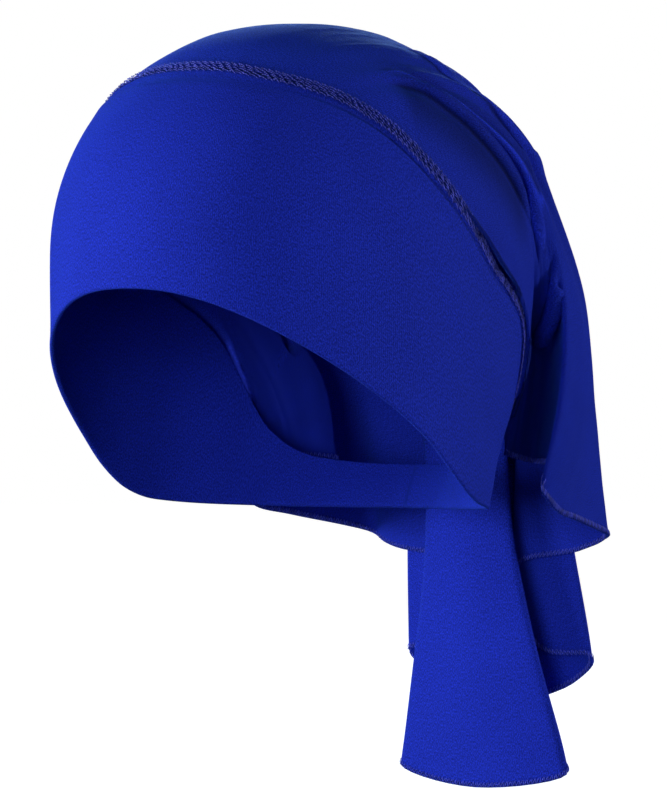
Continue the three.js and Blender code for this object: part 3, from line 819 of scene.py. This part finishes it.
def build_coverstitch():
    """Thread of the flat seam: rows of long slanted dashes with a knot at each needle hole."""
    fine = np.linspace(-STITCH_END_TURN, STITCH_END_TURN, STITCH_MARKS)
    run = run_along(seam_beside(fine, np.zeros_like(fine), BAND_WALL))
    random = np.random.default_rng(STITCH_SEED)
    s = np.linspace(0, 1, DASH_POINTS)
    k = np.linspace(0, 1, KNOT_POINTS)
    tubes = []

    def at(distance, offset, lift):
        turn = np.interp(distance, run, fine)
        leaned = ease((np.abs(turn) - LEANED_TURN) / LEANED_SPAN)
        shown = offset * (1 - LEANED_NARROWING * leaned) - LEANED_SHIFT * leaned
        return seam_beside(turn, shown, BAND_WALL + lift)

    for row in range(STITCH_ROWS):
        middle = SEAM_HALF_WIDTH * (1 - 2 * row / (STITCH_ROWS - 1))
        start = STITCH_DASH * random.uniform(0, 1)
        while start < run[-1] - STITCH_DASH:
            reach = STITCH_DASH * random.uniform(*STITCH_REACH)
            lean = random.uniform(*STITCH_LEAN)
            distance = start + s * reach * STITCH_OVERLAP
            offset = middle + lean * (1 - 2 * s) + random.uniform(-STITCH_STRAY, STITCH_STRAY)
            arch = STITCH_RISE * np.sin(math.pi * s) ** STITCH_RISE_POWER
            lift = random.uniform(*STITCH_LIFT) + arch - STITCH_SINK
            radius = STITCH_THREAD * random.uniform(*STITCH_THICKNESS)
            tubes.append(tube(at(distance, offset, lift), radius, SEAM_THREAD_SIDES))
            if row in (0, STITCH_ROWS - 1):
                hop = KNOT_LIFT + KNOT_RISE * np.sin(math.pi * k)
                side = middle + np.linspace(*KNOT_SIDES, KNOT_POINTS)
                knot = at(start + KNOT_REACH * k, side, hop)
                tubes.append(tube(knot, STITCH_THREAD * KNOT_THICKNESS, SEAM_THREAD_SIDES))
            start += reach
    return join_tubes("seam_coverstitch", tubes)


def build_overlock(grid, normals):
    """Overlock thread along the hem: a zigzag on each face that wraps the cut edge."""
    columns, rows = grid.shape[:2]
    run = run_along(grid[:, -1])
    down = run_down(grid)
    back = down[:, -1:] - down
    random = np.random.default_rng(OVERLOCK_SEED)

    def blend(first, second, share):
        spot = first[0] * (1 - share) + second[0] * share
        return spot, unit(first[1] * (1 - share) + second[1] * share)

    def at(distance, inward, side):
        """Places at a distance along the hem, inward of it and off the cloth's middle."""
        c = np.interp(distance, run, np.arange(columns))
        i = np.clip(np.floor(c).astype(int), 0, columns - 2)
        out = []
        for k in range(len(c)):
            spots = []
            for col in (i[k], i[k] + 1):
                j = rows - 1 - np.interp(inward[k], back[col][::-1], np.arange(rows))
                j0 = int(min(max(math.floor(j), 0), rows - 2))
                here = (grid[col, j0], normals[col, j0])
                below = (grid[col, j0 + 1], normals[col, j0 + 1])
                spots.append(blend(here, below, j - j0))
            spot, normal = blend(*spots, c[k] - i[k])
            out.append(spot + normal * side[k])
        return np.array(out)

    half = 0.5 * JERSEY_WALL * (1 + HEM_THICKENING)
    s = np.linspace(0, 1, LOOP_POINTS)
    lift = half + LOOP_LIFT + LOOP_RISE * np.sin(math.pi * s)
    tubes = []
    for face in (1, -1):
        for i in range(int(run[-1] / OVERLOCK_PITCH)):
            middle = (i + 0.5) * OVERLOCK_PITCH + random.uniform(-OVERLOCK_STRAY, OVERLOCK_STRAY)
            loop = middle + (s - 0.5) * OVERLOCK_PITCH * LOOP_SLANT
            inward = OVERLOCK_WIDTH * (1 - s) * random.uniform(*OVERLOCK_WIDTHS)
            path = at(np.clip(loop, 0, run[-1]), inward, face * lift)
            tubes.append(tube(path, LOOP_THREAD, HEM_THREAD_SIDES))
            turned = middle + OVERLOCK_PITCH * 0.5 - (s - 0.5) * OVERLOCK_PITCH * RETURN_SLANT
            path = at(np.clip(turned, 0, run[-1]), OVERLOCK_WIDTH * s, face * lift)
            tubes.append(tube(path, RETURN_THREAD, HEM_THREAD_SIDES))
    return join_tubes("hem_overlock", tubes)


def node(tree, kind, **settings):
    n = tree.nodes.new(kind)
    for key, value in settings.items():
        setattr(n, key, value)
    return n


def math_node(tree, operation, a, b=None):
    n = node(tree, "ShaderNodeMath", operation=operation)
    for socket, value in zip(n.inputs, (a, b)):
        if value is None:
            continue
        if isinstance(value, (int, float)):
            socket.default_value = value
        else:
            tree.links.new(value, socket)
    return n.outputs[0]


def jersey_material(name, creases_and_painted_light):
    """Fine single jersey: rows of tiny V stitches, heather grain and slow colour drift."""
    material = bpy.data.materials.new(name)
    material.use_nodes = True
    tree = material.node_tree
    shader = tree.nodes["Principled BSDF"]
    shader.inputs["Roughness"].default_value = 0.78
    shader.inputs["Specular IOR Level"].default_value = 0.10
    shader.inputs["Specular Tint"].default_value = (0.35, 0.5, 1.0, 1.0)
    shader.inputs["Sheen Weight"].default_value = 0.10
    shader.inputs["Sheen Roughness"].default_value = 0.4
    shader.inputs["Sheen Tint"].default_value = (0.05, 0.36, 1.0, 1.0)
    uv = node(tree, "ShaderNodeUVMap", uv_map="cloth")
    split = node(tree, "ShaderNodeSeparateXYZ")
    tree.links.new(uv.outputs["UV"], split.inputs[0])

    def grain(scale, stretch, detail):
        mapping = node(tree, "ShaderNodeMapping")
        mapping.inputs["Scale"].default_value = (scale, scale * stretch, scale)
        tree.links.new(uv.outputs["UV"], mapping.inputs["Vector"])
        noise = node(tree, "ShaderNodeTexNoise")
        noise.inputs["Scale"].default_value = 1.0
        noise.inputs["Detail"].default_value = detail
        tree.links.new(mapping.outputs["Vector"], noise.inputs["Vector"])
        return math_node(tree, "SUBTRACT", noise.outputs["Fac"], 0.5)

    drift = math_node(tree, "MULTIPLY", grain(*WAVER_GRAIN), WAVER)
    u = math_node(tree, "DIVIDE", math_node(tree, "ADD", split.outputs[0], drift), WALE)
    v = math_node(tree, "DIVIDE", split.outputs[1], COURSE)
    across = math_node(tree, "SUBTRACT", math_node(tree, "FRACT", u), 0.5)
    within = math_node(tree, "ABSOLUTE", across)
    lean = math_node(tree, "ADD", v, math_node(tree, "MULTIPLY", within, LEG_SLANT))
    loop = math_node(tree, "SINE", math_node(tree, "MULTIPLY", lean, 2 * math.pi))
    groove = math_node(tree, "COSINE", math_node(tree, "MULTIPLY", u, 2 * math.pi))
    legs = math_node(tree, "MULTIPLY", loop, LEG_DEPTH)
    furrow = math_node(tree, "MULTIPLY", groove, FURROW_DEPTH)
    stitch = math_node(tree, "SUBTRACT", legs, furrow)
    heather = grain(*HEATHER_GRAIN)
    speck = grain(*SPECK_GRAIN)
    slow = grain(*SLOW_GRAIN)
    tone = math_node(tree, "ADD", math_node(tree, "MULTIPLY", stitch, KNIT_TONE), MIDDLE_TONE)
    for layer, weight in ((heather, HEATHER_TONE), (speck, SPECK_TONE), (slow, SLOW_TONE)):
        tone = math_node(tree, "ADD", tone, math_node(tree, "MULTIPLY", layer, weight))
    ramp = node(tree, "ShaderNodeValToRGB")
    ramp.color_ramp.elements[0].color = (*JERSEY_DARK, 1)
    ramp.color_ramp.elements[1].color = (*JERSEY_BRIGHT, 1)
    tree.links.new(tone, ramp.inputs["Fac"])
    # Painted shade: under the dense seam stitching the cloth's colour is darkened.
    seam_painted_shade = node(tree, "ShaderNodeMapRange", interpolation_type="SMOOTHSTEP")
    seam_painted_shade.inputs["From Min"].default_value = SEAM_PAINTED_SHADE_START
    seam_painted_shade.inputs["From Max"].default_value = SEAM_PAINTED_SHADE_END
    seam_painted_shade.inputs["To Min"].default_value = SEAM_PAINTED_SHADE_KEPT
    seam_painted_shade.inputs["To Max"].default_value = 1.0
    tree.links.new(split.outputs[1], seam_painted_shade.inputs["Value"])
    # The colour is scaled by the painted shade beside the seam and by the painted shade and
    # highlights of the drawn lines.
    shade = node(tree, "ShaderNodeVectorMath", operation="SCALE")
    tree.links.new(ramp.outputs["Color"], shade.inputs[0])
    painted_light_share = seam_painted_shade.outputs["Result"]
    # Drawn lines: a sharp line in the cloth's height, plus painted shade in its colour that turns
    # into a painted highlight where the share is negative, read from distances beside it.
    crease_height = 0.0
    for layer, centre, width, height, darker in creases_and_painted_light:
        fold = node(tree, "ShaderNodeUVMap", uv_map=layer)
        parts = node(tree, "ShaderNodeSeparateXYZ")
        tree.links.new(fold.outputs["UV"], parts.inputs[0])
        away = math_node(tree, "DIVIDE", math_node(tree, "SUBTRACT", parts.outputs[0], centre), width)
        squared = math_node(tree, "MULTIPLY", away, away)
        profile = math_node(tree, "EXPONENT", math_node(tree, "MULTIPLY", squared, -1.0))
        profile = math_node(tree, "MULTIPLY", profile, parts.outputs[1])
        rise = math_node(tree, "MULTIPLY", profile, height)
        crease_height = math_node(tree, "ADD", crease_height, rise)
        # Painted light: a positive share darkens the colour as painted shade, and a negative one
        # brightens it as a painted highlight.
        kept = math_node(tree, "SUBTRACT", 1.0, math_node(tree, "MULTIPLY", profile, darker))
        painted_light_share = math_node(tree, "MULTIPLY", painted_light_share, kept)
    tree.links.new(painted_light_share, shade.inputs["Scale"])
    tree.links.new(shade.outputs["Vector"], shader.inputs["Base Color"])
    relief = node(tree, "ShaderNodeBump")
    relief.inputs["Strength"].default_value = KNIT_HEIGHT_SHARE
    relief.inputs["Distance"].default_value = KNIT_HEIGHT
    height = math_node(tree, "ADD", stitch, math_node(tree, "MULTIPLY", heather, HEATHER_HEIGHT))
    tree.links.new(height, relief.inputs["Height"])
    tree.links.new(relief.outputs["Normal"], shader.inputs["Normal"])
    sharp = node(tree, "ShaderNodeBump")
    sharp.inputs["Strength"].default_value = 1.0
    sharp.inputs["Distance"].default_value = MM
    tree.links.new(crease_height, sharp.inputs["Height"])
    tree.links.new(sharp.outputs["Normal"], relief.inputs["Normal"])
    return material


def thread_material(name, colour, painted_shade_share):
    """Twisted sewing thread, with painted shade between its turns and painted highlights on them."""
    material = bpy.data.materials.new(name)
    material.use_nodes = True
    tree = material.node_tree
    shader = tree.nodes["Principled BSDF"]
    shader.inputs["Roughness"].default_value = 0.4
    shader.inputs["Specular IOR Level"].default_value = 0.35
    shader.inputs["Specular Tint"].default_value = (0.45, 0.5, 1.0, 1.0)
    coords = node(tree, "ShaderNodeTexCoord")
    twist = node(tree, "ShaderNodeTexWave")
    twist.inputs["Scale"].default_value = 330.0
    twist.inputs["Distortion"].default_value = 3.0
    tree.links.new(coords.outputs["Object"], twist.inputs["Vector"])
    # Painted shade and highlight: the ramp runs dark between the twist's turns and bright on them.
    ramp = node(tree, "ShaderNodeValToRGB")
    ramp.color_ramp.elements[0].color = (*[c * painted_shade_share for c in colour], 1)
    ramp.color_ramp.elements[1].color = (*colour, 1)
    tree.links.new(twist.outputs["Fac"], ramp.inputs["Fac"])
    tree.links.new(ramp.outputs["Color"], shader.inputs["Base Color"])
    return material


def paint(obj, material):
    obj.data.materials.clear()
    obj.data.materials.append(material)


# Pieces.
band = build_band()
crown, crown_middle, crown_normals = build_crown()
coverstitch = build_coverstitch()
overlock = build_overlock(crown_middle, crown_normals)

paint(band, jersey_material("band_jersey_knit", GROOVES_AND_PAINTED_LIGHT))
paint(crown, jersey_material("crown_jersey_knit", CREASES_AND_PAINTED_LIGHT))
paint(coverstitch, thread_material("seam_thread", SEAM_THREAD_COLOUR, SEAM_THREAD_PAINTED_SHADE))
paint(overlock, thread_material("hem_thread", HEM_THREAD_COLOUR, HEM_THREAD_PAINTED_SHADE))

for piece in (band, crown, coverstitch, overlock):
    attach(piece, "root")
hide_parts("front_band")
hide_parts("crown_panel")


def build_stage():
    """White paper under the cap and a white world, which light the cloth only faintly."""
    bpy.ops.mesh.primitive_circle_add(
        vertices=96,
        radius=FLOOR_RADIUS,
        fill_type="NGON",
        location=(0, 0, FLOOR_HEIGHT),
    )
    floor = bpy.context.object
    floor.name = "floor"
    material = bpy.data.materials.new("floor_paper")
    material.use_nodes = True
    shader = material.node_tree.nodes["Principled BSDF"]
    shader.inputs["Base Color"].default_value = (0.10, 0.10, 0.10, 1)
    shader.inputs["Roughness"].default_value = 0.9
    shader.inputs["Emission Color"].default_value = (*WHITE, 1)
    shader.inputs["Emission Strength"].default_value = 1.0
    floor.data.materials.append(material)
    floor.visible_diffuse = False
    floor.visible_glossy = False
    world = bpy.data.worlds.new("studio")
    bpy.context.scene.world = world
    world.use_nodes = True
    tree = world.node_tree
    shown = tree.nodes["Background"]
    shown.inputs["Color"].default_value = (*WHITE, 1)
    shown.inputs["Strength"].default_value = 1.0
    fill = node(tree, "ShaderNodeBackground")
    fill.inputs["Color"].default_value = (0.85, 0.9, 1.0, 1)
    fill.inputs["Strength"].default_value = WORLD_FILL
    path = node(tree, "ShaderNodeLightPath")
    mix = node(tree, "ShaderNodeMixShader")
    tree.links.new(path.outputs["Is Camera Ray"], mix.inputs["Fac"])
    tree.links.new(fill.outputs[0], mix.inputs[1])
    tree.links.new(shown.outputs[0], mix.inputs[2])
    tree.links.new(mix.outputs[0], tree.nodes["World Output"].inputs["Surface"])


def aim(obj, target):
    direction = Vector(np.array(target) - np.array(obj.location))
    obj.rotation_euler = direction.to_track_quat("-Z", "Y").to_euler()


def from_camera(turn, rise):
    """Direction from the head, turned to the picture's right of the camera and raised."""
    a, b = math.radians(turn), math.radians(rise)
    return (TO_CAMERA * math.cos(a) + TO_RIGHT * math.sin(a)) * math.cos(b) + UP * math.sin(b)


def build_lights():
    centre = HEAD_CENTRE * MM
    for name, turn, rise, distance, size, watts, colour in LIGHTS:
        light = bpy.data.lights.new(name, "AREA")
        light.shape = "RECTANGLE"
        light.size, light.size_y = size
        light.energy = watts
        light.color = colour
        obj = bpy.data.objects.new(name, light)
        bpy.context.scene.collection.objects.link(obj)
        obj.location = tuple(centre + from_camera(turn, rise) * distance)
        aim(obj, centre)


def build_camera():
    target = HEAD_CENTRE + TO_RIGHT * CAMERA_SHIFT - UP * CAMERA_LOWERED
    data = bpy.data.cameras.new("camera")
    data.sensor_fit = "VERTICAL"
    data.sensor_height = SENSOR_HEIGHT
    data.lens = SENSOR_HEIGHT * PIXELS_PER_MM * CAMERA_DISTANCE / PICTURE_PIXELS
    data.clip_end = 30.0
    camera = bpy.data.objects.new("camera", data)
    bpy.context.scene.collection.objects.link(camera)
    camera.location = tuple((target + TO_CAMERA * CAMERA_DISTANCE) * MM)
    aim(camera, target * MM)
    bpy.context.scene.camera = camera


build_stage()
build_lights()
build_camera()
bpy.context.scene.view_settings.view_transform = "Standard"
